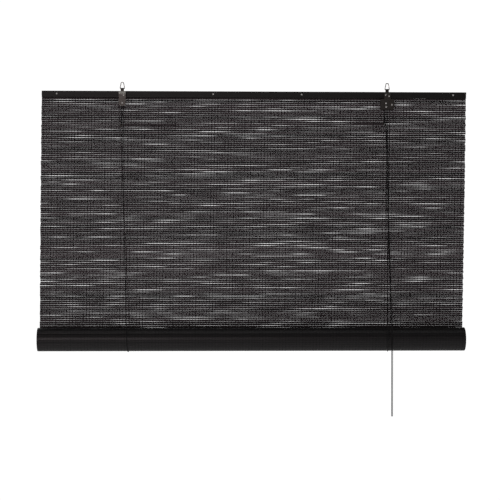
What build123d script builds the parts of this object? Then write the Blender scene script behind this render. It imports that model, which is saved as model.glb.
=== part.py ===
"""A bamboo roll up blind with its head rail, hanging rings, pulley, cord lock and cords.

Millimetres, +Z up, X along the rail, the front of the blind faces -Y.
The origin is on the line on which two hooks carry the hanging rings, above the middle of the rail.
The blind is drawn part way down, with the rest of the mat wound up in the roll.
"""

from build123d import *
import math
import os

os.makedirs("parts", exist_ok=True)

# Blind and mat
blind_width = 1200.0
stick_pitch = 5.965
rows_in_rail = 3
rows_hanging = 114
mat_core = 1.4
stick_thickness = 2.4
stick_root_height = 4.9
stick_crown_height = 3.6
slot_height = 0.25
slot_edge_margin = 20.0
streak_height = 1.0
streak_shortest = 60.0
streak_longest = 260.0
streak_ramp = 15.0
hang_skew = 8.5

# Roll
roll_radius = 32.5
turn_pitch = 3.3
half_turns = 12
bottom_lath_thickness = 6.0
bottom_lath_height = 20.0
bottom_lath_edge = 1.5
lath_tail = 9.0

# Head rail
rail_height = 18.0
front_lath_thickness = 6.0
back_lath_thickness = 4.5
lath_edge = 1.0
wood_gap = 0.3
tack_places = (-558.0, -118.0, 132.5, 563.2)
tack_drop = 8.2
tack_shank_radius = 0.8
tack_head_radius = 2.3
tack_head_height = 1.2
tack_length = 11.0
hole_clearance = 0.1
mat_hole_clearance = 0.4

# Hanging rings and their straps
ring_places = (-373.7, 374.8)
ring_wire = 2.4
ring_rise = 22.7
ring_base_rise = 6.2
ring_half_width = 6.6
ring_corner_radius = 1.8
ring_apex_radius = 3.4
ring_joint_gap = 0.4
strap_sheet = 0.8
strap_width = 9.5
strap_foot_width = 16.0
strap_leg_drop = 17.0
strap_clearance = 0.15

# Pulley and cord lock
sheet = 1.2
frame_gap = 7.0
frame_top_drop = 1.0
frame_slant_drop = 8.0
frame_bend_radius = 1.6
pulley_place = -373.8
pulley_width = 19.4
pulley_bottom_drop = 43.6
pulley_corner = 8.0
pulley_axle_drop = 34.6
lock_place = 374.7
lock_width = 39.8
lock_neck_width = 18.0
lock_neck_drop = 21.0
lock_bottom_drop = 51.0
lock_corner = 5.0
lock_shoulder = 5.0
roller_place = 370.4
roller_drop = 32.7
anvil_place = 371.1
anvil_drop = 43.0
anvil_radius = 1.5
dog_place = 387.3
dog_drop = 37.1
dog_hub_radius = 4.4
dog_reach = 12.2
dog_nose_top = 3.0
dog_nose_bottom = 8.2
dog_tooth_count = 4
dog_tooth_depth = 0.7
dog_thickness = 5.8
wheel_width = 6.0
wheel_radius = 5.2
wheel_cord_radius = 3.5
groove_clearance = 0.15
axle_radius = 1.25
running_clearance = 0.05
rivet_head_radius = 2.3
rivet_head_height = 0.9
cord_row_spacing = 3.0
screw_places = ((-369.6, 12.7), (369.5, 9.3), (379.1, 12.7))
screw_shank_radius = 1.5
screw_head_radius = 2.2
screw_head_height = 1.3
screw_slot = 0.6
screw_length = 22.5

# Cords, eyelets and screw eyes
cord_radius = 1.0
cord_clearance = 0.45
cord_joint_gap = 0.15
wheel_lead = 5.0
eyelet_places = (-376.8, 367.3)
eyelet_rows = (13, 12)
eyelet_bore_radius = 2.0
eyelet_sleeve_radius = 2.7
eyelet_flange_radius = 4.5
eyelet_flange_thickness = 0.8
eyelet_edge = 0.3
eyelet_flare = 0.6
cross_cord_depth = 3.4
cross_cord_bend = 3.0
screw_eye_places = (-384.0, 384.0)
screw_eye_radius = 3.2
screw_eye_wire = 0.8
screw_eye_neck = 2.0
screw_eye_shank = 10.0
knot_radius = 2.3
sling_places = (-358.5, 371.5)
sling_turn = 4.8
front_run_bend_drops = (240.0, 115.0)
front_run_bend_shifts = (-4.5, 2.9)
lock_exit_drop = 53.0
pull_cord_places = (381.3, 384.3)
pull_run_bend_drop = 370.0
pull_run_bend_shift = -3.5
pull_cord_split_drop = 849.0
pull_cord_end_drop = 913.0

# Levels and depths that follow from the sizes above
rail_top = -ring_rise
rail_bottom = rail_top - rail_height
rail_front = strap_sheet
front_lath_back = rail_front + front_lath_thickness
mat_depth = front_lath_back + wood_gap + stick_thickness / 2
back_lath_front = mat_depth + stick_thickness / 2 + wood_gap
rail_back = back_lath_front + back_lath_thickness
mat_top = rail_bottom + rows_in_rail * stick_pitch
mat_bottom = rail_bottom - rows_hanging * stick_pitch
mat_rows = rows_in_rail + rows_hanging
roll_depth = mat_depth - roll_radius
roll_level = mat_bottom
roll_outside = roll_radius + stick_thickness / 2
frame_back = -strap_sheet
frame_inner_back = frame_back - sheet
frame_inner_front = frame_inner_back - frame_gap
frame_front = frame_inner_front - sheet
wheel_depth = frame_inner_back - frame_gap / 2
rear_cord_depth = wheel_depth + cord_row_spacing / 2
front_cord_depth = wheel_depth - cord_row_spacing / 2
pulley_axle_level = rail_top - pulley_axle_drop
roller_level = rail_top - roller_drop
sling_radius = roll_outside + cord_clearance + cord_radius


def stick_section():
    """The section of one stick, thickest along the sketch's x."""
    root = (mat_core / 2, stick_root_height / 2)
    crown = (stick_thickness / 2, stick_crown_height / 2)
    right = [(root[0], -root[1]), (crown[0], -crown[1]), crown, root]
    left = [(-x, -z) for x, z in right]
    return Polygon(*right, *left, align=None)


# The two laths of the head rail, with holes for the tacks and the hardware's screws
rail_centre_level = rail_top - rail_height / 2
tack_spots = [(x, rail_top - tack_drop) for x in tack_places]
screw_spots = [(x, rail_top - drop) for x, drop in screw_places]


def dome_middle(rim_radius, rise):
    """The point half way round a dome's arc: its distances from the rim's plane and from the axis."""
    sphere = (rim_radius**2 + rise**2) / (2 * rise)
    angle = math.asin(rim_radius / sphere) / 2
    return sphere * math.cos(angle) - (sphere - rise), sphere * math.sin(angle)


def drill(spots, radius):
    """Round holes along Y through everything in the open part."""
    with BuildSketch(Plane.XZ) as holes:
        with Locations(*spots):
            Circle(radius)
    extrude(holes.sketch, amount=rail_height * 2, both=True, mode=Mode.SUBTRACT)


with BuildPart() as front_lath:
    with BuildSketch(Plane.YZ):
        with Locations((rail_front + front_lath_thickness / 2, rail_centre_level)):
            RectangleRounded(front_lath_thickness, rail_height, lath_edge)
    extrude(amount=blind_width / 2, both=True)
    drill(tack_spots, tack_shank_radius + hole_clearance)
    drill(screw_spots, screw_shank_radius + hole_clearance)
front_lath.part.label = "front_lath"

with BuildPart() as back_lath:
    with BuildSketch(Plane.YZ):
        with Locations((rail_back - back_lath_thickness / 2, rail_centre_level)):
            RectangleRounded(back_lath_thickness, rail_height, lath_edge)
    extrude(amount=blind_width / 2, both=True)
    for spots, radius, tip in (
        (tack_spots, tack_shank_radius, rail_front + tack_length),
        (screw_spots, screw_shank_radius, frame_front + screw_length),
    ):
        with BuildSketch(Plane.XZ.offset(-tip - hole_clearance)):
            with Locations(*spots):
                Circle(radius + hole_clearance)
        extrude(amount=rail_height, mode=Mode.SUBTRACT)
    eye_hole_depth = screw_eye_shank + hole_clearance
    with BuildSketch(Plane.XY.offset(rail_bottom)):
        with Locations(*[(x, rail_back - back_lath_thickness / 2) for x in screw_eye_places]):
            Circle(screw_eye_wire + hole_clearance)
    extrude(amount=eye_hole_depth, mode=Mode.SUBTRACT)
back_lath.part.label = "back_lath"

# Tacks with domed heads, driven through the front lath and the mat into the back lath
tack_dome_rise, tack_dome_width = dome_middle(tack_head_radius, tack_head_height)
with BuildPart() as rail_tacks:
    for x, level in tack_spots:
        tack_plane = Plane(origin=(x, rail_front, level), x_dir=(1, 0, 0), z_dir=(0, 0, 1))
        with BuildSketch(tack_plane):
            with BuildLine():
                tip = (0, tack_length)
                shank_end = (tack_shank_radius, tack_length - 2 * tack_shank_radius)
                shank_root = (tack_shank_radius, 0)
                rim = (tack_head_radius, 0)
                dome = (0, -tack_head_height)
                Polyline(dome, tip, shank_end, shank_root, rim)
                ThreePointArc(rim, (tack_dome_width, -tack_dome_rise), dome)
            make_face()
        revolve(axis=Axis((x, 0, level), (0, 1, 0)))
rail_tacks.part.label = "rail_tacks"

# The hanging mat: one wall of stick ridges, with a slot between each two that opens into a streak of light
slot_count = rows_hanging - 1
row_stride = 67
streak_turn = 0.6180339887
eyelet_spots = [(x, rail_bottom - row * stick_pitch) for x, row in zip(eyelet_places, eyelet_rows)]
mat_middle = (mat_top + mat_bottom) / 2
mat_height = mat_top - mat_bottom


def skewed_x(level):
    """How far the mat has slid sideways at a height, as it hangs a little askew."""
    return -hang_skew * (mat_top - level) / mat_height


with BuildPart() as hanging_mat:
    with BuildSketch(Plane.YZ):
        with Locations((mat_depth, mat_middle)):
            Rectangle(mat_core, mat_height)
            with GridLocations(0, stick_pitch, 1, mat_rows):
                stick_section()
    extrude(amount=blind_width / 2 + hang_skew, both=True)
    with BuildSketch(Plane.XZ.offset(-mat_depth)):
        half = blind_width / 2
        low = skewed_x(mat_bottom)
        Polygon(
            (-half, mat_top), (half, mat_top), (half + low, mat_bottom), (-half + low, mat_bottom), align=None
        )
    extrude(amount=stick_thickness, both=True, mode=Mode.INTERSECT)
    with BuildSketch(Plane.XZ.offset(-mat_depth)):
        for n in range(slot_count):
            along = (n * streak_turn) % 1.0
            spread = (n * streak_turn * streak_turn * 7) % 1.0
            length = streak_shortest + (streak_longest - streak_shortest) * spread**2
            slot_half = blind_width / 2 - slot_edge_margin
            middle = (along - 0.5) * 2 * (slot_half - streak_ramp - length / 2)
            upper = [
                (-slot_half, slot_height / 2),
                (middle - length / 2, slot_height / 2),
                (middle - length / 2 + streak_ramp, streak_height / 2),
                (middle + length / 2 - streak_ramp, streak_height / 2),
                (middle + length / 2, slot_height / 2),
                (slot_half, slot_height / 2),
            ]
            lower = [(x, -z) for x, z in reversed(upper)]
            level = rail_bottom - ((n * row_stride) % slot_count + 1) * stick_pitch
            with Locations((skewed_x(level), level)):
                Polygon(*upper, *lower, align=None)
    extrude(amount=stick_thickness, both=True, mode=Mode.SUBTRACT)
    drill(tack_spots, tack_shank_radius + mat_hole_clearance)
    drill(screw_spots, screw_shank_radius + mat_hole_clearance)
    drill(eyelet_spots, eyelet_sleeve_radius + hole_clearance)
hanging_mat.part.label = "hanging_mat"

# The rolled mat: a spiral of half turns about two centres, one solid from its outer lip to the lath
roll_plane = Plane(origin=(-hang_skew, roll_depth, roll_level), x_dir=(0, 1, 0), z_dir=(1, 0, 0))
half_step = turn_pitch / 2


def half_turn(n):
    """Radius, centre and start angle of the spiral's nth half turn, from the outer lip inward."""
    radius = roll_radius - n * half_step
    centre = 0.0 if n % 2 == 0 else -half_step
    start = 0 if n % 2 == 0 else 180
    return radius, centre, start


last_radius, last_centre, last_start = half_turn(half_turns - 1)
spiral_end = last_centre + last_radius
lath_face = bottom_lath_thickness / 2 + wood_gap + mat_core / 2
turn_in_radius = (spiral_end - lath_face) / 2

with BuildPart() as rolled_mat:
    with BuildSketch(roll_plane):
        with BuildLine() as spiral:
            for n in range(half_turns):
                radius, centre, start = half_turn(n)
                CenterArc((centre, 0), radius, start, -180)
            CenterArc((lath_face + turn_in_radius, 0), turn_in_radius, 0, -180)
            Line((lath_face, 0), (lath_face, lath_tail))
        trace(line_width=mat_core)
        for n in range(2):
            radius, centre, start = half_turn(n)
            sticks = int(math.pi * radius / stick_pitch)
            step = 180 / sticks
            with Locations((centre, 0)):
                with PolarLocations(radius, sticks, start - 180 + step / 2, 180):
                    stick_section()
    extrude(amount=blind_width / 2, both=True)
rolled_mat.part.label = "rolled_mat"

with BuildPart() as bottom_lath:
    with BuildSketch(roll_plane):
        RectangleRounded(bottom_lath_thickness, bottom_lath_height, bottom_lath_edge)
    extrude(amount=blind_width / 2, both=True)
bottom_lath.part.label = "bottom_lath"

# Hanging rings: bent wire, its two ends butted inside the strap
ring_base_level = rail_top + ring_base_rise
ring_apex_level = ring_wire / 2
ring_parts = []
strap_parts = []
for side, x in zip(("left", "right"), ring_places):
    with BuildPart() as ring:
        with BuildLine(Plane.XZ) as loop:
            FilletPolyline(
                (x + ring_joint_gap / 2, ring_base_level),
                (x + ring_half_width, ring_base_level),
                (x + ring_apex_radius * 0.9, ring_apex_level),
                (x - ring_apex_radius * 0.9, ring_apex_level),
                (x - ring_half_width, ring_base_level),
                (x - ring_joint_gap / 2, ring_base_level),
                radius=[ring_corner_radius, ring_apex_radius * 0.6, ring_apex_radius * 0.6, ring_corner_radius],
            )
        with BuildSketch(Plane(origin=loop.line @ 0, z_dir=loop.line % 0)):
            Circle(ring_wire / 2)
        sweep(path=loop.line)
    ring.part.label = f"{side}_hanging_ring"
    ring_parts.append(ring.part)

    # A strap folded over the ring's base, both legs flat on the front of the rail and wider below its top
    with BuildPart() as strap:
        with BuildSketch(Plane.YZ.offset(x - strap_foot_width / 2)):
            loop_inner = ring_wire / 2 + strap_clearance
            with Locations((0, ring_base_level)):
                Circle(loop_inner + strap_sheet)
            leg_bottom = rail_top - strap_leg_drop
            with Locations((0, (ring_base_level + leg_bottom) / 2)):
                Rectangle(2 * strap_sheet, ring_base_level - leg_bottom)
            with Locations((0, ring_base_level)):
                Circle(loop_inner, mode=Mode.SUBTRACT)
        extrude(amount=strap_foot_width)
        foot_top = rail_top - frame_top_drop - sheet
        with BuildSketch(Plane.XZ):
            for sign in (-1, 1):
                with Locations((x + sign * (strap_width + strap_foot_width) / 2, foot_top)):
                    Rectangle(strap_foot_width, rail_height, align=(Align.CENTER, Align.MIN))
        extrude(amount=rail_height, both=True, mode=Mode.SUBTRACT)
        drill(screw_spots, screw_shank_radius + hole_clearance)
    strap.part.label = f"{side}_ring_strap"
    strap_parts.append(strap.part)


def folded_frame(place, width, bottom_level):
    """A folded sheet: back cheek on the straps, slanted fold at the top, front cheek."""
    top_level = rail_top - frame_top_drop
    with BuildPart() as frame:
        with BuildSketch(Plane.YZ.offset(place - width / 2)):
            with BuildLine():
                FilletPolyline(
                    (frame_back, bottom_level),
                    (frame_back, top_level),
                    (frame_back - 2 * sheet, top_level),
                    (frame_front, top_level - frame_slant_drop),
                    (frame_front, bottom_level),
                    radius=frame_bend_radius,
                )
                offset(amount=sheet, side=Side.RIGHT)
            make_face()
        extrude(amount=width)
    return frame.part


def axle_holes(x, level, radius):
    """A hole along Y for an axle through both cheeks."""
    drill([(x, level)], radius + hole_clearance / 2)


with BuildPart() as pulley_frame:
    add(folded_frame(pulley_place, pulley_width, rail_top - pulley_bottom_drop))
    low_corners = pulley_frame.edges().filter_by(Axis.Y).group_by(Axis.Z)[0]
    fillet(low_corners, pulley_corner)
    axle_holes(pulley_place, pulley_axle_level, axle_radius)
    drill(screw_spots, screw_shank_radius + hole_clearance)
pulley_frame.part.label = "pulley_frame"

with BuildPart() as lock_frame:
    add(folded_frame(lock_place, lock_width, rail_top - lock_bottom_drop))
    neck_side = (lock_width - lock_neck_width) / 2
    with BuildSketch(Plane.XZ.offset(-rail_back)):
        for sign in (-1, 1):
            with Locations((lock_place + sign * (lock_width - neck_side) / 2, rail_top)):
                Rectangle(neck_side, 2 * lock_neck_drop)
    extrude(amount=2 * rail_back + 2 * frame_gap, mode=Mode.SUBTRACT)
    low_corners = lock_frame.edges().filter_by(Axis.Y).group_by(Axis.Z)[0]
    fillet(low_corners, lock_corner)
    shoulders = lock_frame.edges().filter_by(Axis.Y).filter_by(
        lambda e: abs(abs(e.center().X - lock_place) - lock_width / 2) < 0.01
        and abs(e.center().Z - rail_top + lock_neck_drop) < 0.01
    )
    fillet(shoulders, lock_shoulder)
    axle_holes(roller_place, roller_level, axle_radius)
    axle_holes(dog_place, rail_top - dog_drop, axle_radius)
    axle_holes(anvil_place, rail_top - anvil_drop, anvil_radius)
    drill(screw_spots, screw_shank_radius + hole_clearance)
lock_frame.part.label = "lock_frame"

# Grooved wheels: one cord in the pulley's, two side by side in the lock's roller
def grooved_wheel(x, level, cord_depths):
    """A wheel on a Y axis with a U groove for each cord."""
    with BuildPart() as wheel:
        plane = Plane(origin=(x, wheel_depth, level), x_dir=(0, 1, 0), z_dir=(1, 0, 0))
        bore = axle_radius + running_clearance
        groove = cord_radius + groove_clearance
        with BuildSketch(plane):
            with Locations((0, (wheel_radius + bore) / 2)):
                Rectangle(wheel_width, wheel_radius - bore)
            for depth in cord_depths:
                with Locations((depth - wheel_depth, wheel_cord_radius)):
                    Circle(groove, mode=Mode.SUBTRACT)
                    Rectangle(2 * groove, wheel_radius, align=(Align.CENTER, Align.MIN), mode=Mode.SUBTRACT)
        revolve(axis=Axis((x, 0, level), (0, 1, 0)))
    return wheel.part


pulley_wheel = grooved_wheel(pulley_place, pulley_axle_level, [wheel_depth])
pulley_wheel.label = "pulley_wheel"
lock_roller = grooved_wheel(roller_place, roller_level, [rear_cord_depth, front_cord_depth])
lock_roller.label = "lock_roller"


# Rivets through both cheeks, with a domed head on each side
def rivet(x, level, radius):
    """A riveted pin along Y between the frame's outer faces."""
    rise, width = dome_middle(rivet_head_radius, rivet_head_height)
    front_tip = frame_front - rivet_head_height
    back_tip = frame_back + rivet_head_height
    with BuildPart() as pin:
        with BuildSketch(Plane(origin=(x, 0, level), x_dir=(0, 1, 0), z_dir=(1, 0, 0))):
            with BuildLine():
                Line((front_tip, 0), (back_tip, 0))
                ThreePointArc((back_tip, 0), (frame_back + rise, width), (frame_back, rivet_head_radius))
                Polyline(
                    (frame_back, rivet_head_radius),
                    (frame_back, radius),
                    (frame_front, radius),
                    (frame_front, rivet_head_radius),
                )
                ThreePointArc((frame_front, rivet_head_radius), (frame_front - rise, width), (front_tip, 0))
            make_face()
        revolve(axis=Axis((x, 0, level), (0, 1, 0)))
    return pin.part


pulley_axle = rivet(pulley_place, pulley_axle_level, axle_radius)
pulley_axle.label = "pulley_axle"
lock_roller_axle = rivet(roller_place, roller_level, axle_radius)
lock_roller_axle.label = "lock_roller_axle"
lock_dog_pivot = rivet(dog_place, rail_top - dog_drop, axle_radius)
lock_dog_pivot.label = "lock_dog_pivot"
lock_anvil_pin = rivet(anvil_place, rail_top - anvil_drop, anvil_radius)
lock_anvil_pin.label = "lock_anvil_pin"

# The dog: a toothed nose on a hub that swings up to grip the cords against the anvil pin
dog_plane = Plane(origin=(dog_place, wheel_depth, rail_top - dog_drop), x_dir=(1, 0, 0), z_dir=(0, -1, 0))
tooth_pitch = (dog_nose_bottom - dog_nose_top) / dog_tooth_count
with BuildPart() as lock_dog:
    with BuildSketch(dog_plane):
        Circle(dog_hub_radius)
        root = -dog_reach + dog_tooth_depth
        Polygon(
            (0, dog_hub_radius), (-dog_hub_radius, 0.6 * dog_hub_radius), (root, -dog_nose_top),
            (root, -dog_nose_bottom), (-dog_hub_radius, -dog_nose_bottom), (0, -dog_hub_radius), align=None
        )
        for n in range(dog_tooth_count):
            top = -dog_nose_top - n * tooth_pitch
            Polygon((root, top), (-dog_reach, top - tooth_pitch / 3), (root, top - tooth_pitch), align=None)
        Circle(axle_radius + running_clearance, mode=Mode.SUBTRACT)
    extrude(amount=dog_thickness / 2, both=True)
lock_dog.part.label = "lock_dog"

# Screws with domed slotted heads that hold both frames, and the straps behind them, on the rail
screw_dome_rise, screw_dome_width = dome_middle(screw_head_radius, screw_head_height)
with BuildPart() as hardware_screws:
    for x, level in screw_spots:
        plane = Plane(origin=(x, frame_front, level), x_dir=(1, 0, 0), z_dir=(0, 0, 1))
        with BuildSketch(plane):
            with BuildLine():
                tip = (0, screw_length)
                shank_end = (screw_shank_radius, screw_length - 2 * screw_shank_radius)
                rim = (screw_head_radius, 0)
                crown = (0, -screw_head_height)
                Polyline(crown, tip, shank_end, (screw_shank_radius, 0), rim)
                ThreePointArc(rim, (screw_dome_width, -screw_dome_rise), crown)
            make_face()
        revolve(axis=Axis((x, 0, level), (0, 1, 0)))
    with BuildSketch(Plane.XZ.offset(-frame_front + screw_head_height / 2)):
        with Locations(*screw_spots):
            Rectangle(3 * screw_head_radius, screw_slot, rotation=25)
    extrude(amount=screw_head_height, mode=Mode.SUBTRACT)
hardware_screws.part.label = "hardware_screws"

# Eyelets where the cross cord passes through the mat
with BuildPart() as mat_eyelets:
    for x, level in eyelet_spots:
        face = stick_thickness / 2 + hole_clearance
        lip = face + eyelet_flange_thickness
        mouth = eyelet_bore_radius + eyelet_flare
        plane = Plane(origin=(x, mat_depth, level), x_dir=(0, 1, 0), z_dir=(1, 0, 0))
        with BuildSketch(plane):
            front = [
                (-face, eyelet_bore_radius),
                (-lip, mouth),
                (-lip, eyelet_flange_radius - eyelet_edge),
                (eyelet_edge - lip, eyelet_flange_radius),
                (-face, eyelet_flange_radius),
                (-face, eyelet_sleeve_radius),
            ]
            back = [(-depth, radius) for depth, radius in reversed(front)]
            Polygon(*front, *back, align=None)
        revolve(axis=Axis((x, 0, level), (0, 1, 0)))
mat_eyelets.part.label = "mat_eyelets"

# Screw eyes under the back lath and the knots that tie the lift cords' fixed ends to them
eye_depth = rail_back - back_lath_thickness / 2
eye_level = rail_bottom - screw_eye_neck - screw_eye_radius
with BuildPart() as cord_screw_eyes:
    for x in screw_eye_places:
        with Locations(Location((x, eye_depth, eye_level), (90, 0, 0))):
            Torus(screw_eye_radius, screw_eye_wire)
        with BuildSketch(Plane.XY.offset(eye_level + screw_eye_radius)):
            with Locations((x, eye_depth)):
                Circle(screw_eye_wire)
        extrude(amount=screw_eye_neck + screw_eye_shank)
cord_screw_eyes.part.label = "cord_screw_eyes"

knot_level = eye_level - screw_eye_radius
with BuildPart() as cord_end_knots:
    for x in screw_eye_places:
        with Locations((x, eye_depth, knot_level)):
            Sphere(knot_radius)
    knot_flat = knot_radius * 0.8
    with BuildSketch(Plane.XY.offset(knot_level - knot_flat)):
        with Locations(*[(x, eye_depth) for x in screw_eye_places]):
            Rectangle(3 * knot_radius, 3 * knot_radius)
    extrude(amount=-knot_radius, mode=Mode.SUBTRACT)
    for x in screw_eye_places:
        with Locations(Location((x, eye_depth, eye_level), (90, 0, 0))):
            Torus(screw_eye_radius, screw_eye_wire + hole_clearance, mode=Mode.SUBTRACT)
cord_end_knots.part.label = "cord_end_knots"


# Cords: plain tubes. A taut run is straight, with an arc the size of what it goes round
def gentle_radii(points):
    """Arc radii for a free run: 0.45 of the shorter run over the tangent of half the turn."""
    radii = []
    for before, point, after in zip(points, points[1:], points[2:]):
        first = Vector(*point) - Vector(*before)
        second = Vector(*after) - Vector(*point)
        half_turn_angle = math.radians(first.get_angle(second)) / 2
        radii.append(0.45 * min(first.length, second.length) / math.tan(half_turn_angle))
    return radii


def tube(name, line):
    """Sweep the cord's round section along a line and compare its volume with its length."""
    path = line.wires()[0]
    with BuildPart() as cord:
        with BuildSketch(Plane(origin=path @ 0, z_dir=path % 0)):
            Circle(cord_radius)
        sweep(path=path)
    expected = math.pi * cord_radius**2 * path.length
    print(f"{name}: length {path.length:.1f}, volume over section times length {cord.part.volume / expected:.4f}")
    cord.part.label = name
    return cord.part


def bowed_run(name, top, low, bend_drop, bend_shift):
    """A free run between two points, with a small joint gap at each end and the slight bow it hangs in."""
    run = low - top
    share = (top.Z - rail_top + bend_drop) / (top.Z - low.Z)
    bend = top + run * share + Vector(bend_shift, 0, 0)
    start = top + run.normalized() * cord_joint_gap
    finish = low - run.normalized() * cord_joint_gap
    route = [tuple(start), tuple(bend), tuple(finish)]
    radii = gentle_radii(route)
    print(f"{name} radii", [round(r, 1) for r in radii])
    with BuildLine() as line:
        FilletPolyline(*route, radius=radii)
    return tube(name, line)


cords = []
lock_exit = rail_top - lock_exit_drop
for side, place, eye_x, bend_drop, bend_shift in zip(
    ("left", "right"), sling_places, screw_eye_places, front_run_bend_drops, front_run_bend_shifts
):
    # The sling lies in an upright plane turned a little about Z, from the back round to the front
    turn = math.radians(sling_turn)
    along = Vector(math.sin(turn), math.cos(turn), 0)
    middle_x = place + sling_radius * math.sin(turn)
    sling_plane = Plane(
        origin=(middle_x, roll_depth, roll_level), x_dir=along, z_dir=(math.cos(turn), -math.sin(turn), 0)
    )
    wheel_x = pulley_place + wheel_cord_radius if side == "left" else roller_place - wheel_cord_radius
    run_depth = wheel_depth if side == "left" else front_cord_depth
    run_level = pulley_axle_level - wheel_lead if side == "left" else lock_exit
    run_top = Vector(wheel_x, run_depth, run_level)
    rise = run_top.Z - roll_level
    depth_change = run_top.Y - roll_depth
    lean = math.atan2(depth_change, rise)
    grip = math.asin(sling_radius / math.hypot(rise, depth_change))
    wrap = lean + grip
    with BuildLine(sling_plane) as sling_line:
        CenterArc((0, 0), sling_radius, 0, -180 - math.degrees(wrap))
    cords.append(tube(f"{side}_cord_sling", sling_line))
    sling_top = sling_line.line @ 1
    sling_back = sling_line.line @ 0

    # The front run, from the wheel down to the sling
    cords.append(bowed_run(f"{side}_lift_cord_front", run_top, sling_top, bend_drop, bend_shift))

    # The back run, straight from the knot under the screw eye down to the sling behind the roll
    back_top = Vector(eye_x, eye_depth, knot_level - knot_flat - cord_joint_gap)
    back_run = sling_back - back_top
    back_end = sling_back - back_run.normalized() * cord_joint_gap
    with BuildLine() as back_line:
        Line(back_top, back_end)
    cords.append(tube(f"{side}_lift_cord_back", back_line))

# The cross cord: over the pulley's wheel, down and through the mat, across behind it,
# back through the mat, up over the lock's roller and down between the anvil pin and the dog
(left_eye, left_eye_level), (right_eye, right_eye_level) = eyelet_spots
cross_depth = mat_depth + cross_cord_depth
eyelet_mouth = mat_depth - stick_thickness / 2 - hole_clearance - eyelet_flange_thickness - cross_cord_bend
with BuildLine() as cross_line:
    with BuildLine(Plane.XZ.offset(-wheel_depth)):
        Line(
            (pulley_place + wheel_cord_radius, pulley_axle_level - wheel_lead),
            (pulley_place + wheel_cord_radius, pulley_axle_level),
        )
        CenterArc((pulley_place, pulley_axle_level), wheel_cord_radius, 0, 180)
    FilletPolyline(
        (pulley_place - wheel_cord_radius, wheel_depth, pulley_axle_level),
        (pulley_place - wheel_cord_radius, wheel_depth, pulley_axle_level - 2 * wheel_lead),
        (left_eye, eyelet_mouth, left_eye_level),
        (left_eye, cross_depth, left_eye_level),
        (right_eye, cross_depth, right_eye_level),
        (right_eye, eyelet_mouth, right_eye_level),
        (roller_place - wheel_cord_radius, rear_cord_depth, lock_exit),
        (roller_place - wheel_cord_radius, rear_cord_depth, roller_level),
        radius=[12 * cord_radius, cross_cord_bend, cross_cord_bend, cross_cord_bend, cross_cord_bend,
                12 * cord_radius],
    )
    with BuildLine(Plane.XZ.offset(-rear_cord_depth)):
        CenterArc((roller_place, roller_level), wheel_cord_radius, 180, -180)
        Line(
            (roller_place + wheel_cord_radius, roller_level),
            (roller_place + wheel_cord_radius, lock_exit),
        )
cords.append(tube("cross_cord", cross_line))

with BuildLine(Plane.XZ.offset(-front_cord_depth)) as lock_line:
    Line((roller_place - wheel_cord_radius, lock_exit), (roller_place - wheel_cord_radius, roller_level))
    CenterArc((roller_place, roller_level), wheel_cord_radius, 180, -180)
    Line((roller_place + wheel_cord_radius, roller_level), (roller_place + wheel_cord_radius, lock_exit))
cords.append(tube("right_lock_cord", lock_line))

# The pull cord: two strands from the lock over the front of the roll, hanging to their bare ends
pull_split = rail_top - pull_cord_split_drop
pull_end = rail_top - pull_cord_end_drop
for side, strand_x, strand_depth in zip(
    ("left", "right"), pull_cord_places, (rear_cord_depth, front_cord_depth)
):
    exit_point = Vector(roller_place + wheel_cord_radius, strand_depth, lock_exit)
    rise = exit_point.Z - roll_level
    depth_change = exit_point.Y - roll_depth
    wrap = math.atan2(depth_change, rise) + math.asin(sling_radius / math.hypot(rise, depth_change))
    touch = Vector(
        strand_x, roll_depth - sling_radius * math.cos(wrap), roll_level + sling_radius * math.sin(wrap)
    )
    cords.append(
        bowed_run(f"{side}_pull_cord_upper", exit_point, touch, pull_run_bend_drop, pull_run_bend_shift)
    )
    strand_plane = Plane(origin=(strand_x, roll_depth, roll_level), x_dir=(0, 1, 0), z_dir=(1, 0, 0))
    with BuildLine(strand_plane) as lower_line:
        CenterArc((0, 0), sling_radius, 180 - math.degrees(wrap), math.degrees(wrap))
        Line((-sling_radius, 0), (-sling_radius, pull_split - roll_level))
    cords.append(tube(f"{side}_pull_cord_lower", lower_line))
    with BuildLine() as end_line:
        Line(
            (strand_x, roll_depth - sling_radius, pull_split - cord_joint_gap),
            (strand_x, roll_depth - sling_radius, pull_end),
        )
    cords.append(tube(f"{side}_pull_cord_end", end_line))

rigid_parts = [
    front_lath.part, back_lath.part, rail_tacks.part, hanging_mat.part, rolled_mat.part, bottom_lath.part,
    pulley_frame.part, pulley_wheel, pulley_axle, lock_frame.part, lock_roller, lock_roller_axle,
    lock_dog.part, lock_dog_pivot, lock_anvil_pin, hardware_screws.part, mat_eyelets.part,
    cord_screw_eyes.part, cord_end_knots.part,
]
for piece in rigid_parts + ring_parts + strap_parts + cords:
    export_step(piece, f"parts/{piece.label}.step")
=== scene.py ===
"""The looks of a bamboo roll up blind: dark sticks bound by threads, plated hardware and braided cords.

Metres, +Z up, X along the head rail, the front faces -Y. The origin is on the line that carries the
rings, half way along the rail.
"""

import math

import bpy
import numpy as np
from mathutils import Matrix, Vector


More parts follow.
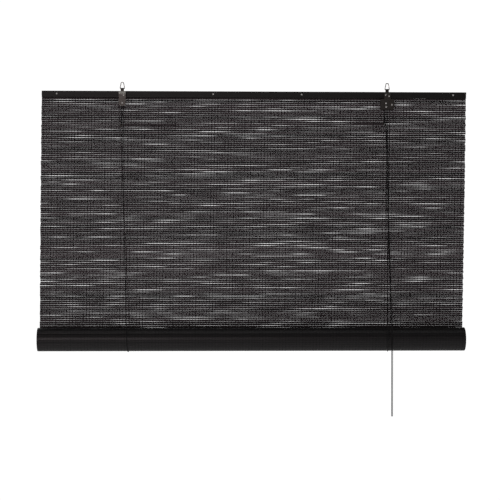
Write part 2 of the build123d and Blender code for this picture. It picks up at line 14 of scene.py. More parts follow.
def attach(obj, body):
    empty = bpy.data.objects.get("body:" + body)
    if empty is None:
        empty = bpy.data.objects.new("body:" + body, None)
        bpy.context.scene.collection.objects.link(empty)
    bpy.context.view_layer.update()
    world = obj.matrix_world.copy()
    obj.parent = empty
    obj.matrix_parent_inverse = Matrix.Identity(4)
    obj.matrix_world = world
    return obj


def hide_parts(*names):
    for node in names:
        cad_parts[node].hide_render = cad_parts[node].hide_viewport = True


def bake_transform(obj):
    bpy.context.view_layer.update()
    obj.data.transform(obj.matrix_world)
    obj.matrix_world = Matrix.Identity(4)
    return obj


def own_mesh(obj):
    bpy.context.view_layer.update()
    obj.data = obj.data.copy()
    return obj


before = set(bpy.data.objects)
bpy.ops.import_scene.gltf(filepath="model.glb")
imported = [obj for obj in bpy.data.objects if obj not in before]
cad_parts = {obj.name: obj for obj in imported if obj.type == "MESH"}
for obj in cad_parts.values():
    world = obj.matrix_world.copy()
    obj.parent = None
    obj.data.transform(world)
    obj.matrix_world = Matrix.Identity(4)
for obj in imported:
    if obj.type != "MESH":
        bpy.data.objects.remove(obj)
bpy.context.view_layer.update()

# Sizes and places of the part, in metres
HALF_WIDTH = 0.6
RAIL_TOP = -0.0227
RAIL_BOTTOM = RAIL_TOP - 0.018
PITCH = 0.005965
ROWS_IN_RAIL = 3
ROWS = 117
MAT_TOP = RAIL_BOTTOM + ROWS_IN_RAIL * PITCH
MAT_BOTTOM = MAT_TOP - ROWS * PITCH
MAT_DEPTH = 0.0083
STICK_HALF_DEPTH = 0.0012
HANG_SKEW = 0.0085
ROLL_LEVEL = MAT_BOTTOM
TURN_RADIUS = 0.0325
ROLL_DEPTH = MAT_DEPTH - TURN_RADIUS
TURN_STEP = 0.00165
SLING_RADIUS = 0.03515
CORD_RADIUS = 0.001
CORD_JOINT = 0.00015
# Where the painted highlight on the pulley frame's slanted fold begins, and over how much height it fades
# in
PAINTED_HIGHLIGHT_FROM = RAIL_TOP - 0.0105
PAINTED_HIGHLIGHT_FADE = 0.0015

# Camera, fitted to the photograph
CAMERA_PLACE = Vector((-0.1485, -4.0731, -0.4248))
CAMERA_YAW = math.radians(1.898)
CAMERA_PITCH = math.radians(-0.646)
CAMERA_ROLL = math.radians(0.055)
FOCAL_PIXELS = 1441.13
PHOTO_PIXELS = 500
SENSOR_WIDTH = 36

# Sockets of a Mix node that mixes colours
MIX_FACTOR, MIX_FIRST, MIX_SECOND, MIX_RESULT = 0, 6, 7, 2


def add_camera():
    """The camera at the photograph's place, aim and field of view."""
    forward = Vector(
        (
            math.sin(CAMERA_YAW) * math.cos(CAMERA_PITCH),
            math.cos(CAMERA_YAW) * math.cos(CAMERA_PITCH),
            math.sin(CAMERA_PITCH),
        )
    )
    level_right = Vector((math.cos(CAMERA_YAW), -math.sin(CAMERA_YAW), 0))
    level_up = level_right.cross(forward)
    right = level_right * math.cos(CAMERA_ROLL) + level_up * math.sin(CAMERA_ROLL)
    up = level_up * math.cos(CAMERA_ROLL) - level_right * math.sin(CAMERA_ROLL)
    data = bpy.data.cameras.new("photo_camera")
    data.sensor_width = SENSOR_WIDTH
    data.lens = SENSOR_WIDTH * FOCAL_PIXELS / PHOTO_PIXELS
    camera = bpy.data.objects.new("photo_camera", data)
    turn = Matrix((right, up, -forward)).transposed()
    camera.matrix_world = Matrix.Translation(CAMERA_PLACE) @ turn.to_4x4()
    bpy.context.scene.collection.objects.link(camera)
    bpy.context.scene.camera = camera


class Field:
    """A value or colour over a surface. Arithmetic on it adds the maths nodes that it needs."""

    def __init__(self, finish, socket):
        self.finish = finish
        self.socket = socket

    def _maths(self, operation, *values):
        return self.finish.node("ShaderNodeMath", {"operation": operation}, list(values))

    def __add__(self, other):
        return self._maths("ADD", self, other)

    __radd__ = __add__

    def __sub__(self, other):
        return self._maths("SUBTRACT", self, other)

    def __rsub__(self, other):
        return self._maths("SUBTRACT", other, self)

    def __mul__(self, other):
        return self._maths("MULTIPLY", self, other)

    __rmul__ = __mul__

    def __truediv__(self, other):
        return self._maths("DIVIDE", self, other)

    def __rtruediv__(self, other):
        return self._maths("DIVIDE", other, self)

    def wave(self):
        """Its sine, for what repeats evenly."""
        return self._maths("SINE", self)

    def clamped(self):
        """Held between 0 and 1."""
        return self.finish.node("ShaderNodeClamp", {}, {"Value": self})


class Finish:
    """A material with a Principled shader, and the one method that adds a node to it."""

    def __init__(self, name, **uniform):
        self.material = bpy.data.materials.new(name)
        self.material.use_nodes = True
        self.tree = self.material.node_tree
        self.shader = self.tree.nodes["Principled BSDF"]
        for socket, value in uniform.items():
            self.shader.inputs[socket.replace("_", " ")].default_value = value

    def node(self, kind, settings=None, values=(), output=0):
        """Adds a node: its settings first, then the values or links of its sockets."""
        made = self.tree.nodes.new(kind)
        for setting, value in (settings or {}).items():
            setattr(made, setting, value)
        pairs = values.items() if isinstance(values, dict) else enumerate(values)
        for key, value in pairs:
            if isinstance(value, Field):
                self.tree.links.new(value.socket, made.inputs[key])
            else:
                made.inputs[key].default_value = value
        return Field(self, made.outputs[output])

    def drive(self, socket, field):
        """Links a field to a socket of the shader."""
        self.tree.links.new(field.socket, self.shader.inputs[socket])

    def driven(self, socket):
        """The field that drives a socket of the shader."""
        return Field(self, self.shader.inputs[socket].links[0].from_socket)

    def place(self):
        """The place on the object, in metres, as it is at rest."""
        return self.node("ShaderNodeTexCoord", output="Object")

    def stretched(self, scale, place=None):
        """The place with each axis multiplied by its own scale."""
        return self.node(
            "ShaderNodeVectorMath", {"operation": "MULTIPLY"}, [place or self.place(), scale]
        )

    def noise(self, scale, detail=3.0, roughness=0.55, place=None):
        """Soft noise with about that many lumps for each unit of each axis."""
        place = self.stretched(scale, place)
        return self.node(
            "ShaderNodeTexNoise",
            {},
            {"Vector": place, "Scale": 1.0, "Detail": detail, "Roughness": roughness},
        )

    def axis(self, name, place=None):
        """One coordinate of the place."""
        return self.node("ShaderNodeSeparateXYZ", {}, [place or self.place()], output=name)

    def mix(self, factor, first, second):
        """A colour between two colours."""
        return self.node(
            "ShaderNodeMix",
            {"data_type": "RGBA"},
            {MIX_FACTOR: factor, MIX_FIRST: colour(first), MIX_SECOND: colour(second)},
            output=MIX_RESULT,
        )

    def relief(self, height, distance, strength=1.0):
        """Drives the normal by a bump of that height field."""
        bump = self.node(
            "ShaderNodeBump", {}, {"Strength": strength, "Distance": distance, "Height": height}
        )
        self.drive("Normal", bump)


def colour(value):
    """A colour as a socket takes it."""
    return value if isinstance(value, Field) else (*value, 1.0)


def show(piece, finish):
    """Gives a piece its finish in every slot."""
    piece.data.materials.clear()
    piece.data.materials.append(finish.material)


def grain_attribute(finish):
    """Along the stick in metres, the stick's number, and a share of the way round it."""
    return finish.node("ShaderNodeAttribute", {"attribute_name": "grain"}, output="Vector")


def stick_finish():
    """Black stained bamboo: each stick a little different, with long fibres and a satin sheen."""
    finish = Finish("stained_bamboo_sticks", Roughness=0.5, Specular_IOR_Level=0.35)
    grain = grain_attribute(finish)
    tone = finish.node(
        "ShaderNodeTexWhiteNoise", {"noise_dimensions": "1D"}, {"W": finish.axis("Y", grain)}
    )
    patches = finish.noise((9.0, 3.1, 0.0), 2.0, 0.5, grain)
    fibres = finish.noise((55.0, 7.7, 9.0), 4.0, 0.7, grain)
    shade = (tone * 0.75 + patches * 1.0 + fibres * 0.5 - 0.68).clamped()
    dark, pale = (0.0120, 0.0089, 0.0097), (0.102, 0.076, 0.083)
    finish.drive("Base Color", finish.mix(shade, dark, pale))
    finish.drive("Roughness", fibres * 0.3 + 0.34)
    finish.relief(fibres * 0.6 + patches * 0.4, 0.0004, 0.5)
    return finish


def roll_finish():
    """The same sticks on the roll, which turn round its axis."""
    finish = Finish("stained_bamboo_roll", Roughness=0.5, Specular_IOR_Level=0.4)
    patches = finish.noise((9.0, 60.0, 60.0), 2.0, 0.5)
    fibres = finish.noise((55.0, 1500.0, 1500.0), 4.0, 0.7)
    shade = (patches * 0.9 + fibres * 0.5 - 0.4).clamped()
    dark, pale = (0.0042, 0.0034, 0.0036), (0.0150, 0.0123, 0.0127)
    finish.drive("Base Color", finish.mix(shade, dark, pale))
    finish.drive("Roughness", fibres * 0.25 + 0.28)
    finish.relief(fibres, 0.0003, 0.4)
    return finish


def lath_finish():
    """Black stained laths with a straight grain along the rail."""
    finish = Finish("black_stained_lath", Specular_IOR_Level=0.35)
    wander = finish.noise((3.0, 40.0, 40.0), 2.0)
    grain = finish.noise((12.0, 900.0, 900.0), 5.0, 0.65)
    shade = (grain * 0.8 + wander * 0.5 - 0.35).clamped()
    dark, pale = (0.0045, 0.0045, 0.0037), (0.014, 0.0138, 0.0115)
    finish.drive("Base Color", finish.mix(shade, dark, pale))
    finish.drive("Roughness", grain * 0.3 + 0.35)
    finish.relief(grain, 0.0003, 0.5)
    return finish


def thread_finish():
    """Dark twisted thread."""
    finish = Finish("dark_thread", Roughness=0.85, Specular_IOR_Level=0.2)
    twist = (finish.axis("Z") * 5200.0 + finish.axis("X") * 3800.0).wave()
    fuzz = finish.noise((900.0, 900.0, 900.0), 2.0)
    shade = (twist * 0.25 + fuzz * 0.7).clamped()
    dark, pale = (0.0035, 0.0034, 0.0036), (0.011, 0.0105, 0.011)
    finish.drive("Base Color", finish.mix(shade, dark, pale))
    finish.relief(twist, 0.0001, 0.6)
    return finish


# How fast the waves of a braid's strands go round, in radians for each metre down it and across it
BRAID_DOWN = 3600.0
BRAID_ACROSS = 2600.0


def cord_finish(name, dark, light):
    """Braided cord: two crossing sets of strands in the bump and the colour."""
    finish = Finish(name, Roughness=0.8, Specular_IOR_Level=0.25, Sheen_Weight=0.05)
    across = finish.axis("X") + finish.axis("Y") * 0.8
    rising = (finish.axis("Z") * BRAID_DOWN + across * BRAID_ACROSS).wave()
    falling = (finish.axis("Z") * BRAID_DOWN - across * BRAID_ACROSS).wave()
    braid = rising * falling * 0.5 + 0.5
    fuzz = finish.noise((1500.0, 1500.0, 1500.0), 2.0)
    shade = (braid * 0.7 + fuzz * 0.3).clamped()
    finish.drive("Base Color", finish.mix(shade, dark, light))
    finish.relief(braid, 0.00025, 0.7)
    return finish


def metal_finish(name, clean, worn, roughness, relief=0.00008):
    """Plated steel with brushing, small dents and darker patches in its plating."""
    finish = Finish(name, Metallic=1.0)
    patches = finish.noise((420.0, 420.0, 420.0), 3.0)
    brushing = finish.noise((300.0, 4200.0, 4200.0), 3.0, 0.6)
    finish.drive("Base Color", finish.mix((patches * 1.6 - 0.45).clamped(), clean, worn))
    finish.drive("Roughness", brushing * 0.22 + roughness + patches * 0.1)
    finish.relief(brushing * 0.5 + patches, relief, 0.5)
    return finish


def pulley_plate_finish():
    """The pulley frame's worn plating, in lighter colours than the lock frame's as painted light from the
    left, with a painted highlight on the slanted fold at its top.
    """
    # Painted light: these plating colours are lighter than the lock frame's, standing for the key light
    # falling from the left
    finish = metal_finish("worn_plated_steel_painted_light", (0.12, 0.114, 0.106), (0.060, 0.056, 0.053), 0.30)
    # Painted highlight: a bright colour over the slanted fold, standing for a top light's reflection
    painted_highlight = (0.46, 0.44, 0.41)
    fold = ((finish.axis("Z") - PAINTED_HIGHLIGHT_FROM) / PAINTED_HIGHLIGHT_FADE).clamped()
    finish.drive("Base Color", finish.mix(fold, finish.driven("Base Color"), painted_highlight))
    return finish


def plastic_finish():
    """Moulded black plastic."""
    finish = Finish("black_moulded_plastic", Specular_IOR_Level=0.45)
    speckle = finish.noise((1800.0, 1800.0, 1800.0), 3.0)
    finish.drive("Base Color", finish.mix(speckle, (0.008, 0.008, 0.009), (0.02, 0.02, 0.021)))
    finish.drive("Roughness", speckle * 0.25 + 0.3)
    finish.relief(speckle, 0.00005, 0.4)
    return finish


def floor_finish():
    """Pale matt paper."""
    finish = Finish(
        "pale_paper",
        Roughness=0.95,
        Specular_IOR_Level=0.1,
        Emission_Color=(1, 1, 1, 1),
        Emission_Strength=0.3,
    )
    tooth = finish.noise((60.0, 60.0, 60.0), 2.0)
    finish.drive("Base Color", finish.mix(tooth, (0.76, 0.76, 0.76), (0.80, 0.80, 0.80)))
    return finish


def link_mesh(name, points, faces):
    """A new mesh object from points and faces, shaded smooth."""
    data = bpy.data.meshes.new(name)
    data.from_pydata(points, [], faces)
    data.polygons.foreach_set("use_smooth", [True] * len(data.polygons))
    data.update()
    piece = bpy.data.objects.new(name, data)
    bpy.context.scene.collection.objects.link(piece)
    return piece


def skin_runs(name, runs):
    """Closed tubes through runs[run, station, corner, xyz], with a cap at each end."""
    count, stations, corners, _ = runs.shape
    index = np.arange(count * stations * corners).reshape(count, stations, corners)
    after = np.roll(index, -1, axis=2)
    sides = np.stack([index[:, :-1], index[:, 1:], after[:, 1:], after[:, :-1]], axis=-1)
    faces = sides.reshape(-1, 4).tolist()
    faces += [list(ring) for ring in index[:, 0]]
    faces += [list(ring[::-1]) for ring in index[:, -1]]
    # Corners may go round a run either way: the first run's volume tells, and below 0 the faces are turned
    first = runs[0] - runs[0].mean(axis=(0, 1))
    beside = np.roll(first, -1, axis=1)
    outward = (first[:-1] * np.cross(first[1:], beside[1:])).sum()
    outward += (first[:-1] * np.cross(beside[1:], beside[:-1])).sum()
    if outward < 0:
        faces = [face[::-1] for face in faces]
    return link_mesh(name, runs.reshape(-1, 3).tolist(), faces)


def smooth_random(generator, rows, stations, reach):
    """Random rows with a mean of 0 and a spread of 1, smooth over about that many stations."""
    margin = 3 * reach
    raw = generator.standard_normal((rows, stations + 2 * margin))
    offsets = np.arange(-margin, margin + 1)
    spread = reach / 1.6
    kernel = np.exp(-0.5 * (offsets / spread) ** 2)
    kernel /= np.sqrt((kernel**2).sum())
    return np.stack([np.convolve(row, kernel, "same")[margin:-margin] for row in raw])


# The gaps between sticks: a hairline in every row, and a streak of light where the part has its slot.
# A reach is a number of stations along the mat, and a share says how much that wave opens the gaps
STICK_STATIONS = 141
MEAN_GAP = 0.00016
NARROWEST_GAP = 0.00002
WIDEST_GAP = 0.0012
GAP_WAVE_REACH, GAP_WAVE_SHARE = 4, 1.10
GAP_DRIFT_REACH, GAP_DRIFT_SHARE = 14, 0.35
GAP_ROW_SHARE = 0.20
EDGE_REACH, EDGE_WANDER = 8, 0.00006

# The streaks' rows, lengths and places come from even steps that never fall in line
STREAK_COUNT = ROWS - ROWS_IN_RAIL - 1
STREAK_OPENING = 0.00045
STREAK_SHORTEST = 0.050
STREAK_LONGEST = 0.220
STREAK_MARGIN = 0.015
STREAK_ROW_STEP = 67
STREAK_PLACE_STEP = 0.6180339887
STREAK_LENGTH_STEP = STREAK_PLACE_STEP**2 * 7
STREAK_WAVE_SHARE = 0.25
SLOT_HALF = HALF_WIDTH - 0.020

along = np.linspace(-HALF_WIDTH, HALF_WIDTH, STICK_STATIONS)
dice = np.random.default_rng(41)
gap_wave = smooth_random(dice, ROWS + 1, STICK_STATIONS, GAP_WAVE_REACH)
gap_drift = smooth_random(dice, ROWS + 1, STICK_STATIONS, GAP_DRIFT_REACH)
gap_row = dice.standard_normal((ROWS + 1, 1))
gaps = np.exp(
    GAP_WAVE_SHARE * gap_wave + GAP_DRIFT_SHARE * gap_drift + GAP_ROW_SHARE * gap_row
)
gaps = MEAN_GAP * gaps / gaps.mean()
for n in range(STREAK_COUNT):
    row = (n * STREAK_ROW_STEP) % STREAK_COUNT + ROWS_IN_RAIL + 1
    stretch = ((n * STREAK_LENGTH_STEP) % 1.0) ** 2
    length = STREAK_SHORTEST + (STREAK_LONGEST - STREAK_SHORTEST) * stretch
    reach = SLOT_HALF - STREAK_MARGIN - length / 2
    middle = ((n * STREAK_PLACE_STEP) % 1.0 - 0.5) * 2 * reach
    share = (along - middle) / (length / 2)
    opening = np.sqrt(np.clip(1 - share**2, 0, None)) * (1 + STREAK_WAVE_SHARE * gap_wave[row])
    gaps[row] += STREAK_OPENING * opening
gaps = np.clip(gaps, NARROWEST_GAP, WIDEST_GAP)
edge_wander = EDGE_WANDER * smooth_random(dice, ROWS + 1, STICK_STATIONS, EDGE_REACH)
edge_level = MAT_TOP - PITCH * np.arange(ROWS + 1)[:, None] + edge_wander
edge_level[0] = MAT_TOP
edge_level[-1] = MAT_BOTTOM


def skew(level):
    """How far the mat has slid sideways at a height."""
    return -HANG_SKEW * (MAT_TOP - level) / (MAT_TOP - MAT_BOTTOM)


# How far the sticks' left and right ends are inside the mat's edges: below 0 they stick out
LONGEST_ENDS = (-0.0012, -0.0018)
SHORTEST_ENDS = (0.0004, -0.0002)

# The lower sticks' ends are cut back a little more towards the roll
CUT_BACK_FROM = -0.33
CUT_BACK_LEFT = 0.0022
CUT_BACK_RIGHT = 0.0010

# A stick's half depth, as a share of the part's, and the corners round its section, as shares of its
# half height and its half depth
DEPTH_SHARE = 0.9
DEPTH_WANDER = 0.08
DEPTH_REACH = 12
STICK_SECTION = (
    (0.98, 0.0), (0.62, -1.0), (-0.62, -1.0), (-0.98, 0.0), (-0.62, 1.0), (0.62, 1.0),
)


def mat_sticks():
    """All the sticks of the hanging mat, each with its own bends, thickness and ragged ends."""
    top = edge_level[:-1] - gaps[:-1] / 2
    low = edge_level[1:] + gaps[1:] / 2
    middle = (top + low) / 2
    half = (top - low) / 2
    wander = np.tanh(smooth_random(dice, ROWS, STICK_STATIONS, DEPTH_REACH))
    depth = STICK_HALF_DEPTH * (DEPTH_SHARE + DEPTH_WANDER * wander)
    ends = dice.uniform(LONGEST_ENDS, SHORTEST_ENDS, (ROWS, 2))
    x = along[None, :] + skew(middle)
    low_share = np.clip((middle[:, 0] - CUT_BACK_FROM) / (MAT_BOTTOM - CUT_BACK_FROM), 0, 1)
    x[:, 0] += ends[:, 0] + CUT_BACK_LEFT * low_share
    x[:, -1] -= ends[:, 1] + CUT_BACK_RIGHT * low_share
    runs = np.empty((ROWS, STICK_STATIONS, len(STICK_SECTION), 3))
    for corner, (up, out) in enumerate(STICK_SECTION):
        runs[:, :, corner, 0] = x
        runs[:, :, corner, 1] = MAT_DEPTH + out * depth
        runs[:, :, corner, 2] = middle + up * half
    piece = skin_runs("hanging_mat_sticks", runs)
    grain = np.empty_like(runs)
    grain[..., 0] = x[:, :, None]
    grain[..., 1] = np.arange(ROWS)[:, None, None]
    grain[..., 2] = np.arange(len(STICK_SECTION)) / len(STICK_SECTION)
    layer = piece.data.attributes.new("grain", "FLOAT_VECTOR", "POINT")
    layer.data.foreach_set("vector", grain.reshape(-1))
    return piece


# The binding threads: one set dips between the sticks, the other lies straight over them. Out is away
# from the middle of the sticks, and an arch runs between two shares of a stick's height
THREAD_HALF_WIDTH = 0.00036
THREAD_THICKNESS = 0.0002
THREAD_PROUD = 0.00008
THREAD_SWAY = 0.0001
THREAD_OUT = STICK_HALF_DEPTH + THREAD_PROUD
SWAY_DOWN, SWAY_ACROSS = 37, 900
STRAIGHT_TOP = MAT_TOP - 0.0005
STRAIGHT_STATIONS = 40
THREAD_END = MAT_BOTTOM + 0.0001
DIP_DROP = 0.00012
DIP_OUT = 0.15 * STICK_HALF_DEPTH
ARCH_FROM, ARCH_TO = 0.27, 0.73
ROLL_DIP_OUT = 0.0003
ROLL_DIP, ROLL_ARCH_FROM, ROLL_ARCH_TO = 0.02, 0.28, 0.72
THREAD_MARGIN = 0.004
THREAD_STRAY = 0.0001
THREAD_CORNERS = (0, 120, 240)
THREAD_SPACINGS = (0.00789, 0.009377)
THREAD_STARTS = (-0.0101, -0.0089)


def even_places(spacing, start):
    """Places across the mat at one even spacing, one of them about at the start."""
    reach = HALF_WIDTH - THREAD_MARGIN
    first = math.ceil((-reach - start) / spacing)
    last = (reach - start) // spacing
    places = start + spacing * np.arange(first, last + 1)
    return places + dice.uniform(-THREAD_STRAY, THREAD_STRAY, len(places))


dipping_places, straight_places = (
    even_places(spacing, start) for spacing, start in zip(THREAD_SPACINGS, THREAD_STARTS)
)


def thread_runs(places, levels, out):
    """Threads down the mat, each as far out from its middle as said at each level: in front is below 0."""
    side = 1 if out[0] > 0 else -1
    sway = THREAD_SWAY * np.sin(levels[None] * SWAY_DOWN + places[:, None] * SWAY_ACROSS)
    middle = places[:, None] + skew(levels)[None] + sway
    widest = math.sin(math.radians(THREAD_CORNERS[1]))
    runs = np.empty((len(places), len(levels), len(THREAD_CORNERS), 3))
    for corner, angle in enumerate(THREAD_CORNERS):
        turn = math.radians(angle)
        runs[:, :, corner, 0] = middle + THREAD_HALF_WIDTH * math.sin(turn) / widest
        runs[:, :, corner, 1] = MAT_DEPTH + out + side * THREAD_THICKNESS * math.cos(turn)
        runs[:, :, corner, 2] = levels
    return runs


def dipping_runs(places):
    """Threads that arch over the front of every stick and dip between the sticks."""
    stations = []
    for row in range(ROWS):
        level = MAT_TOP - row * PITCH
        stations.append((level - DIP_DROP, DIP_OUT))
        stations.append((level - ARCH_FROM * PITCH, THREAD_OUT))
        stations.append((level - ARCH_TO * PITCH, THREAD_OUT))
    stations.append((THREAD_END, DIP_OUT))
    levels, out = np.array(stations).T
    return thread_runs(places, levels, -out)


def straight_runs(places, side):
    """Threads that lie straight over the sticks on one face. side is -1 in front and 1 behind."""
    levels = np.linspace(STRAIGHT_TOP, THREAD_END, STRAIGHT_STATIONS)
    return thread_runs(places, levels, np.full(len(levels), side * THREAD_OUT))


def roll_point(angle, proud):
    """Depth and height on the roll's outer turn, which goes from the back down and round to the front.

    The angle is in degrees from the back. In the turn's second half the radius is one step smaller, and
    its centre lies one step nearer to the front.
    """
    first = angle < 180
    radius = TURN_RADIUS if first else TURN_RADIUS - TURN_STEP
    centre = 0.0 if first else -TURN_STEP
    turn = math.radians(-angle)
    return (
        ROLL_DEPTH + centre + (radius + proud) * math.cos(turn),
        ROLL_LEVEL + (radius + proud) * math.sin(turn),
    )


def roll_threads(places):
    """Threads that arch over every stick of the roll's outer turn."""
    profile = []
    for start, radius in ((0, TURN_RADIUS), (180, TURN_RADIUS - TURN_STEP)):
        sticks = int(math.pi * radius / PITCH)
        step = 180 / sticks
        for stick in range(sticks):
            angle = start + stick * step
            profile.append((angle + ROLL_DIP * step, ROLL_DIP_OUT))
            profile.append((angle + ROLL_ARCH_FROM * step, THREAD_OUT))
            profile.append((angle + ROLL_ARCH_TO * step, THREAD_OUT))
    outer = [roll_point(angle, proud + THREAD_THICKNESS) for angle, proud in profile]
    inner = [roll_point(angle, proud - THREAD_THICKNESS / 2) for angle, proud in profile]
    edges = ((outer, 0.0), (inner, THREAD_HALF_WIDTH), (inner, -THREAD_HALF_WIDTH))
    runs = np.empty((len(places), len(profile), len(edges), 3))
    for corner, (line, shift) in enumerate(edges):
        runs[:, :, corner, 0] = places[:, None] - HANG_SKEW + shift
        runs[:, :, corner, 1:] = np.array(line)
    return skin_runs("roll_threads", runs)


def spline_points(name, route):
    """Points along the smooth line of a route, which are its NURBS spline's control points."""
    curve = bpy.data.curves.new(name, "CURVE")
    curve.dimensions = "3D"
    curve.resolution_u = 12
    spline = curve.splines.new("NURBS")
    spline.points.add(len(route) - 1)
    for point, place in zip(spline.points, route):
        point.co = (*place, 1)
    spline.order_u = 3
    spline.use_endpoint_u = True
    holder = bpy.data.objects.new(name, curve)
    line = bpy.data.meshes.new_from_object(holder)
    points = [vertex.co.copy() for vertex in line.vertices]
    bpy.data.objects.remove(holder)
    bpy.data.curves.remove(curve)
    bpy.data.meshes.remove(line)
    return points


# A cord's mesh: sides round it, and steps along a straight run
CORD_SIDES = 12
CORD_STEPS = 24


def cord_tube(name, route, finish):
    """A round cord along a route, as a mesh, with the points that it follows."""
    if len(route) > 2:
        path = spline_points(name, route)
    else:
        start, end = route
        path = [start.lerp(end, n / CORD_STEPS) for n in range(CORD_STEPS + 1)]
    rings = []
    side = Vector((1, 0, 0))
    for number, point in enumerate(path):
        ahead = path[min(number + 1, len(path) - 1)] - path[max(number - 1, 0)]
        ahead.normalize()
        side = (side - ahead * side.dot(ahead)).normalized()
        over = ahead.cross(side)
        rings.append(
            [
                point + CORD_RADIUS * (side * math.cos(turn) + over * math.sin(turn))
                for turn in (2 * math.pi * n / CORD_SIDES for n in range(CORD_SIDES))
            ]
        )
    piece = skin_runs(name, np.array(rings)[None])
    show(piece, finish)
    return piece, path


def squash_to_lift(piece):
    """Gives the piece its own copy of its mesh; nothing here shortens it as the roll is raised."""
    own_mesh(piece)


def add_area_light(name, place, aim, size, power, tint):
    """A soft box at a place, turned to its aim: size in metres, power in watts."""
    data = bpy.data.lights.new(name, "AREA")
    data.shape = "RECTANGLE"
    data.size, data.size_y = size
    data.energy = power
    data.color = tint
    light = bpy.data.objects.new(name, data)
    light.location = place
    light.rotation_euler = (Vector(aim) - Vector(place)).to_track_quat("-Z", "Y").to_euler()
    bpy.context.scene.collection.objects.link(light)


# The floor lies below the pull cord's lowest reach, and ends below the photograph's lower edge
FLOOR_LEVEL = -2.0
FLOOR_BACK = 4.0
FLOOR_REACH = 6.0
ROOM_LIGHT = 0.05
BACKDROP_LIGHT = 1.05

# The soft boxes: name, place, aim, size, power and tint
MAT_MIDDLE = (0, 0, -0.4)
WHITE = (1, 1, 1)
SOFT_BOXES = (
    ("key", (-1.45, -6.0, 0.1), MAT_MIDDLE, (0.35, 0.35), 44, (1, 0.87, 0.89)),
    ("right_fill", (4.2, -1.8, 0.6), MAT_MIDDLE, (2.4, 2.4), 12, (0.86, 0.9, 1)),
    ("left_fill", (-4.2, -1.0, 0.8), MAT_MIDDLE, (2.4, 2.4), 6, WHITE),
    ("top", (0.0, -0.5, 1.9), (0, 0.1, -0.3), (2.6, 0.8), 6, WHITE),
    ("back", (-0.8, 4.0, 2.6), MAT_MIDDLE, (2.4, 1.2), 50, WHITE),
)


def add_backdrop():
    """A plain white backdrop on every side, in a dim and soft room light."""
    world = bpy.data.worlds.new("white_backdrop")
    world.use_nodes = True
    tree = world.node_tree
    path = tree.nodes.new("ShaderNodeLightPath")
    shade = tree.nodes.new("ShaderNodeMix")
    shade.data_type = "RGBA"
    for socket, light in ((MIX_FIRST, ROOM_LIGHT), (MIX_SECOND, BACKDROP_LIGHT)):
        shade.inputs[socket].default_value = (light, light, light, 1)
    tree.links.new(path.outputs["Is Camera Ray"], shade.inputs[MIX_FACTOR])
    tree.links.new(shade.outputs[MIX_RESULT], tree.nodes["Background"].inputs["Color"])
    bpy.context.scene.world = world


def add_studio():
    """A pale floor, a white backdrop and the soft boxes."""
    corners = [
        (-FLOOR_REACH, -FLOOR_REACH, FLOOR_LEVEL),
        (FLOOR_REACH, -FLOOR_REACH, FLOOR_LEVEL),
        (FLOOR_REACH, FLOOR_BACK, FLOOR_LEVEL),
        (-FLOOR_REACH, FLOOR_BACK, FLOOR_LEVEL),
    ]
    floor = link_mesh("paper_floor", corners, [(0, 1, 2, 3)])
    show(floor, floor_finish())
    for soft_box in SOFT_BOXES:
        add_area_light(*soft_box)
    add_backdrop()
    bpy.context.scene.view_settings.view_transform = "Standard"


add_camera()

# Cords first: the lift cords' runs, and the pull cord
lift_cord = cord_finish("braided_lift_cord", (0.0025, 0.0025, 0.0027), (0.010, 0.0096, 0.010))
pull_cord = cord_finish("braided_pull_cord", (0.0035, 0.0034, 0.0036), (0.016, 0.015, 0.0155))

PULLEY_CORD = Vector((-0.3703, -0.0055, -0.0623))
LOCK_LEFT_CORD = Vector((0.3669, -0.007, -0.0757))
LOCK_EXITS = (Vector((0.3739, -0.004, -0.0757)), Vector((0.3739, -0.007, -0.0757)))
SLING_PLACES = (-0.3585, 0.3715)

# Each run's bow: how far below the rail's top it bends, and how far it bends to the right
LEFT_LIFT_BOW = (0.240, -0.0045)
RIGHT_LIFT_BOW = (0.115, 0.0029)
PULL_BOW = (0.370, -0.0035)
BOW_REACH = 0.9


def tangent_point(x, start):
    """Where a taut cord from a start above the roll comes to the cord line round its front."""
    rise = start.z - ROLL_LEVEL
    lead = start.y - ROLL_DEPTH
    wrap = math.atan2(lead, rise) + math.asin(SLING_RADIUS / math.hypot(rise, lead))
    return Vector(
        (x, ROLL_DEPTH - SLING_RADIUS * math.cos(wrap), ROLL_LEVEL + SLING_RADIUS * math.sin(wrap))
    )


def bowed_route(top, low, bow):
    """The route of a free run between two points, with the slight bow that it hangs in."""
    drop, shift = bow
    share = (top.z - RAIL_TOP + drop) / (top.z - low.z)
    bend = top.lerp(low, share) + Vector((shift, 0, 0))
    reach = BOW_REACH * min((top - bend).length, (low - bend).length)
    before = bend + (top - bend).normalized() * reach
    after = bend + (low - bend).normalized() * reach
    return [top, before, bend, after, low]


def lift_cord_front(name, top, sling_x, bow):
    """The front run of a lift cord, from the pulley or the lock down to the sling round the roll."""
    low = tangent_point(sling_x, top)
    piece, _ = cord_tube(name, bowed_route(top, low, bow), lift_cord)
    squash_to_lift(piece)
    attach(piece, "head_rail")
    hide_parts(name.replace("_braid", ""))


lift_cord_front("left_lift_cord_front_braid", PULLEY_CORD, SLING_PLACES[0], LEFT_LIFT_BOW)
lift_cord_front("right_lift_cord_front_braid", LOCK_LEFT_CORD, SLING_PLACES[1], RIGHT_LIFT_BOW)

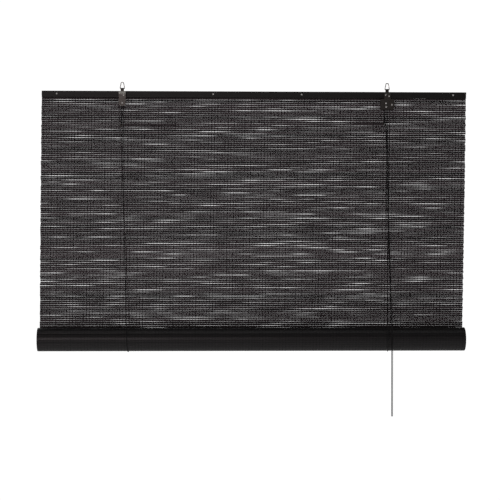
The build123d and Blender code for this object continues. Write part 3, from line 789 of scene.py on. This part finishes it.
# The back runs go from the flat under each knot to the sling's end behind the roll
KNOT_PLACES = (-0.384, 0.384)
KNOT_DEPTH = 0.01205
KNOT_DROP = 0.00840
KNOT_FLAT = 0.00184
KNOT_FOOT = RAIL_BOTTOM - KNOT_DROP - KNOT_FLAT - CORD_JOINT
SLING_TURN = math.radians(4.8)
for side, x, sling_x in zip(("left", "right"), KNOT_PLACES, SLING_PLACES):
    top = Vector((x, KNOT_DEPTH, KNOT_FOOT))
    low = Vector(
        (
            sling_x + 2 * SLING_RADIUS * math.sin(SLING_TURN),
            ROLL_DEPTH + SLING_RADIUS * math.cos(SLING_TURN),
            ROLL_LEVEL,
        )
    )
    piece, _ = cord_tube(f"{side}_lift_cord_back_braid", [top, low], lift_cord)
    squash_to_lift(piece)
    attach(piece, "head_rail")
    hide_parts(f"{side}_lift_cord_back")

# The pull cord's two strands, from the lock over the front of the roll to their bare ends
PULL_PLACES = (0.3813, 0.3843)
PULL_SPLIT = RAIL_TOP - 0.849
PULL_END = RAIL_TOP - 0.913
for side, x, start in zip(("left", "right"), PULL_PLACES, LOCK_EXITS):
    touch = tangent_point(x, start)
    split = Vector((x, ROLL_DEPTH - SLING_RADIUS, PULL_SPLIT))
    corner = Vector((x, split.y, ROLL_LEVEL + (touch.z - ROLL_LEVEL) / 2))
    end = Vector((x, split.y, PULL_END))
    route = bowed_route(start, touch, PULL_BOW)
    upper, path = cord_tube(f"{side}_pull_cord_upper_braid", route, pull_cord)
    squash_to_lift(upper)
    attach(upper, "head_rail")
    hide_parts(f"{side}_pull_cord_upper")
    lower, path = cord_tube(f"{side}_pull_cord_lower_braid", [touch, corner, split], pull_cord)
    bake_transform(lower)
    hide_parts(f"{side}_pull_cord_lower")
    tail, path = cord_tube(f"{side}_pull_cord_end_braid", [split, end], pull_cord)
    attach(tail, "pull_cord_end")
    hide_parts(f"{side}_pull_cord_end")

# The mat and its threads
sticks = mat_sticks()
show(sticks, stick_finish())
squash_to_lift(sticks)
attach(sticks, "head_rail")
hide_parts("hanging_mat")

thread = thread_finish()
half_way = len(dipping_places) // 2
for name, runs in (
    ("dipping_threads_left", dipping_runs(dipping_places[:half_way])),
    ("dipping_threads_right", dipping_runs(dipping_places[half_way:])),
    ("straight_threads_front", straight_runs(straight_places, -1)),
    ("straight_threads_back", straight_runs(dipping_places, 1)),
):
    threads = skin_runs(name, runs)
    show(threads, thread)
    squash_to_lift(threads)
    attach(threads, "head_rail")

wound_threads = roll_threads(np.concatenate([dipping_places, straight_places]))
show(wound_threads, thread)
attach(wound_threads, "roll")

# Finishes of the pieces that show as they are
nickel = metal_finish("bright_nickel", (0.72, 0.70, 0.67), (0.44, 0.42, 0.39), 0.16)
bronze = metal_finish("dark_plated_steel", (0.085, 0.081, 0.074), (0.040, 0.0375, 0.035), 0.30)
steel = metal_finish("plated_pins", (0.86, 0.84, 0.80), (0.60, 0.58, 0.55), 0.28)
zinc = metal_finish("satin_zinc", (0.95, 0.93, 0.89), (0.70, 0.68, 0.65), 0.26)
casting = metal_finish("dark_casting", (0.12, 0.115, 0.11), (0.06, 0.058, 0.055), 0.42, 0.0002)
lath = lath_finish()
plastic = plastic_finish()
FINISHES = {
    "front_lath": lath,
    "back_lath": lath,
    "bottom_lath": lath,
    "rolled_mat": roll_finish(),
    "rail_tacks": zinc,
    "left_hanging_ring": nickel,
    "right_hanging_ring": nickel,
    "left_ring_strap": bronze,
    "right_ring_strap": bronze,
    "pulley_frame": pulley_plate_finish(),
    "lock_frame": bronze,
    "pulley_axle": steel,
    "lock_roller_axle": steel,
    "lock_dog_pivot": steel,
    "lock_anvil_pin": steel,
    "hardware_screws": zinc,
    "mat_eyelets": bronze,
    "cord_screw_eyes": steel,
    "lock_dog": casting,
    "pulley_wheel": plastic,
    "lock_roller": plastic,
    "cord_end_knots": lift_cord,
    "left_cord_sling": lift_cord,
    "right_cord_sling": lift_cord,
    "cross_cord": lift_cord,
    "right_lock_cord": lift_cord,
}
for node, finish in FINISHES.items():
    show(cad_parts[node], finish)

add_studio()
